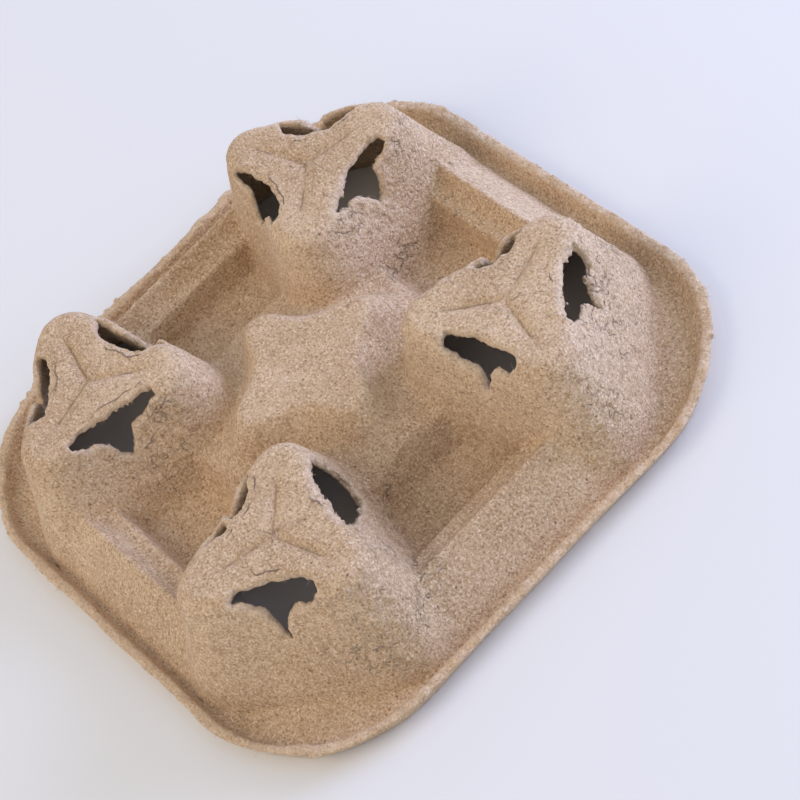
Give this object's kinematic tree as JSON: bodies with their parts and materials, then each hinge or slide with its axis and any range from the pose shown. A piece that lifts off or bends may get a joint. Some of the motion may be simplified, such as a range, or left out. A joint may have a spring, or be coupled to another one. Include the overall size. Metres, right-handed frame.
{
  "type": "cup carrier",
  "caption": "Moulded pulp tray with three-lobed cup cells round a raised centre, an upturned rim and torn slots at the cell ends.",
  "frame": {"origin": "centre of the carrier on the plane of its deck's underside, which is the lowest plane as it lies upside down", "axes": "+Z towards the closed ends of the cells; X and Y square to the sides of the rim"},
  "size_m": [0.2096, 0.2096, 0.0455],
  "materials": {
    "pulp": "matte"
  },
  "bodies": {
    "root": {"cup_tray": "pulp"}
  },
  "joints": []
}
